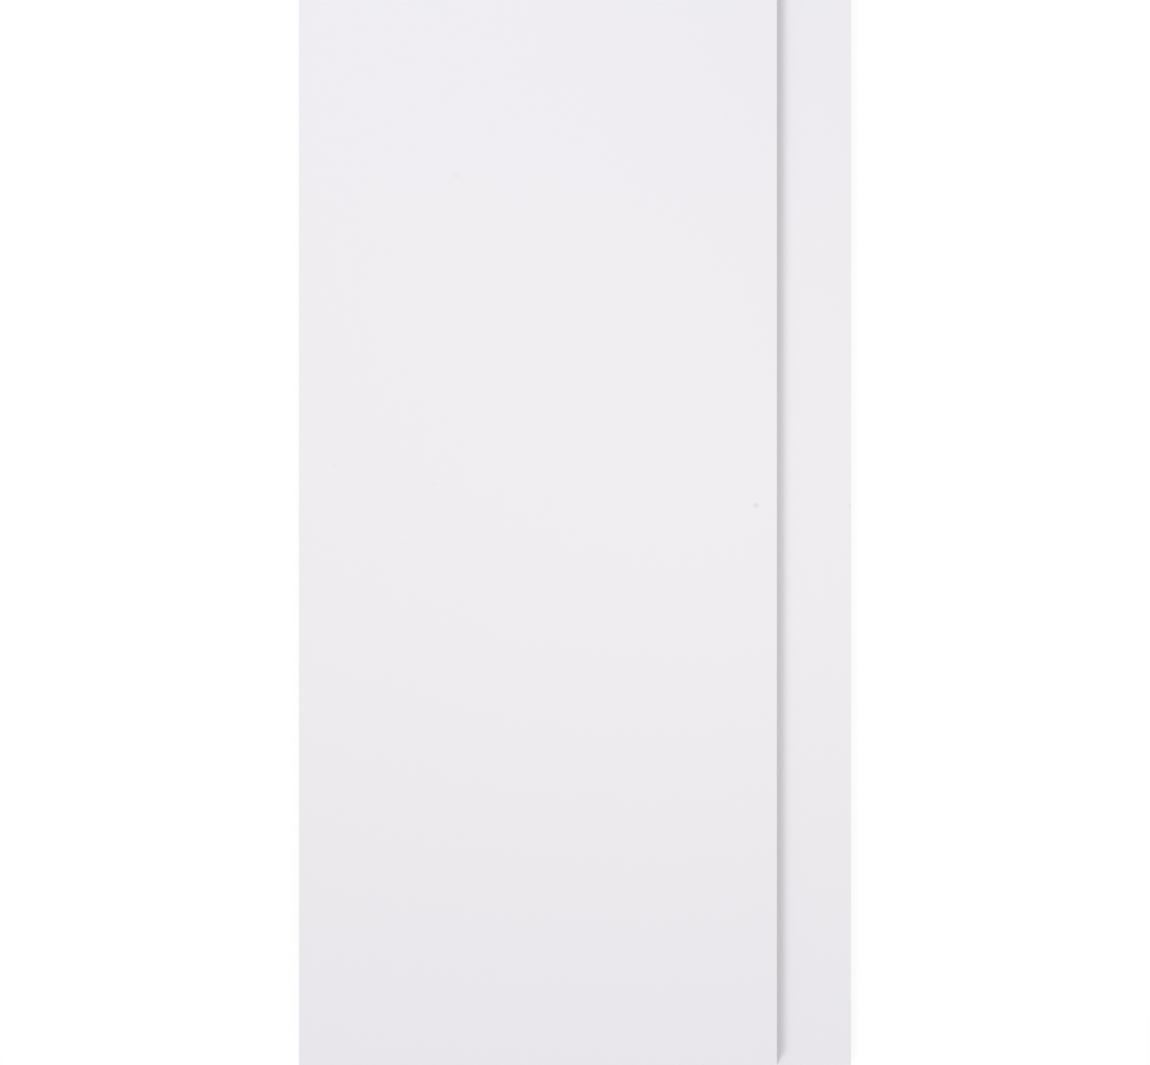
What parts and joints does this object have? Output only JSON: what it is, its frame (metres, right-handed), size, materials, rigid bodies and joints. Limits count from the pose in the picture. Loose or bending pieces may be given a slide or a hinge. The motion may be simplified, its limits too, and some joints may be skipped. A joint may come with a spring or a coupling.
{
  "type": "washable wall panel",
  "caption": "Long flat white wall panel with a smooth washable face, a rebated covering edge along one long side and a lap lip along the other, for cladding interior walls.",
  "frame": {"origin": "middle of the back plane: halfway across the whole width with the lip, halfway along the length, on the surface that the panel lies on", "axes": "+Z from the back to the face, +Y along the length, +X across the panel from the covering edge to the lip"},
  "size_m": [0.231, 2.6, 0.01],
  "materials": {
    "white_panel": "smooth satin white, washable"
  },
  "bodies": {
    "root": {"wall_panel": "white_panel"}
  },
  "joints": []
}
